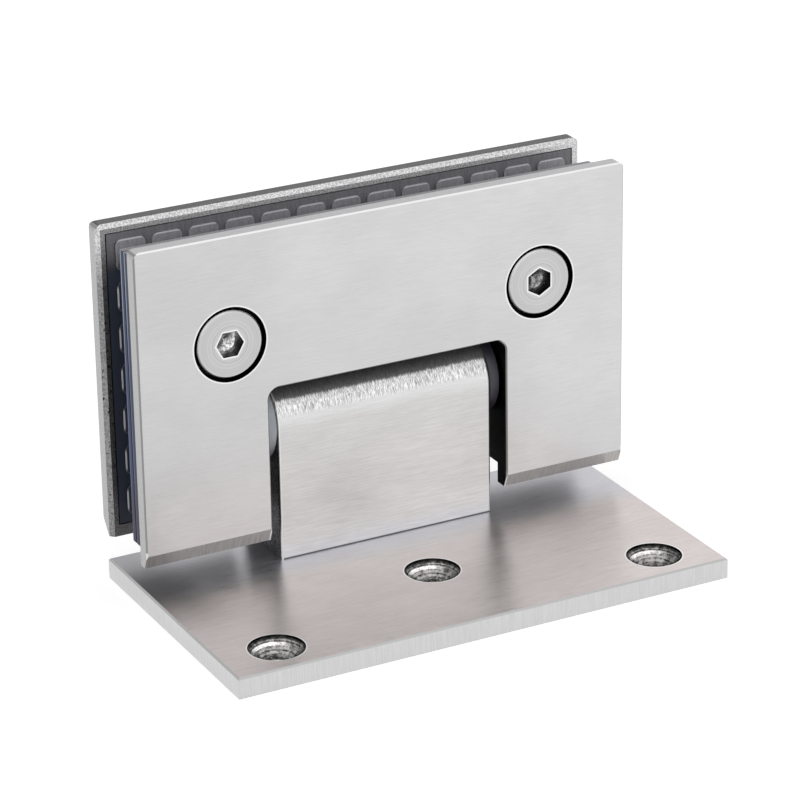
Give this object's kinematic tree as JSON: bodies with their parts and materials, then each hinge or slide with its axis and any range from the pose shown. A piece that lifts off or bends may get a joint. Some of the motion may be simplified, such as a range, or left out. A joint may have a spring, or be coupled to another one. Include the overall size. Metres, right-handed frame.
{
  "type": "shower door hinge",
  "caption": "Wall-to-glass shower door hinge: an offset wall plate carries a round-topped pivot block, and a glass clamp with gaskets turns on its pin.",
  "frame": {"origin": "on the wall face of the wall plate, straight below the pin and halfway along it", "axes": "+Z away from the wall, +X along the pin, -Y towards the front, where the wall plate reaches farthest"},
  "size_m": [0.09, 0.0525, 0.063],
  "materials": {
    "plate_metal": "satin, brushed",
    "block_metal": "satin, brushed along the pin",
    "clamp_metal": "satin, brushed along the hinge",
    "screw_metal": "turned",
    "pin_steel": "ground",
    "inner_steel": "plain",
    "spring_steel": "drawn wire",
    "gasket_rubber": "moulded with raised pads",
    "washer_plastic": "smooth",
    "bearing_plastic": "smooth"
  },
  "bodies": {
    "wall_side": {"wall_plate": "plate_metal", "pivot_block": "block_metal", "block_screws": "inner_steel", "bush_left": "bearing_plastic", "bush_right": "bearing_plastic", "washer_left": "washer_plastic", "washer_right": "washer_plastic", "detent_spring_left": "spring_steel", "detent_spring_right": "spring_steel"},
    "door_clamp": {"pivot_pin": "pin_steel", "pin_screw_left": "inner_steel", "pin_screw_right": "inner_steel", "front_clamp": "clamp_metal", "back_clamp": "clamp_metal", "front_gasket": "gasket_rubber", "spare_gasket": "gasket_rubber", "spare_gasket_2": "gasket_rubber", "spare_gasket_3": "gasket_rubber", "back_gasket": "gasket_rubber", "clamp_screw_left": "screw_metal", "clamp_screw_right": "screw_metal", "screw_sleeve_left": "bearing_plastic", "screw_sleeve_right": "bearing_plastic"},
    "plunger_left": {"detent_plunger_left": "inner_steel"},
    "plunger_right": {"detent_plunger_right": "inner_steel"}
  },
  "joints": [
    {"name": "door_pivot", "type": "hinge", "parent": "wall_side", "child": "door_clamp", "pos_m": [0, 0, 0.027], "axis": [1, 0, 0], "range_deg": [-90, 90]},
    {"name": "plunger_left_slide", "type": "slide", "parent": "wall_side", "child": "plunger_left", "axis": [0, 0, -1], "range_m": [-0.0004, 0.0008], "stiffness_N_per_m": 2000, "deforming": ["detent_spring_left"]},
    {"name": "plunger_right_slide", "type": "slide", "parent": "wall_side", "child": "plunger_right", "axis": [0, 0, -1], "range_m": [-0.0004, 0.0008], "stiffness_N_per_m": 2000, "deforming": ["detent_spring_right"]}
  ]
}
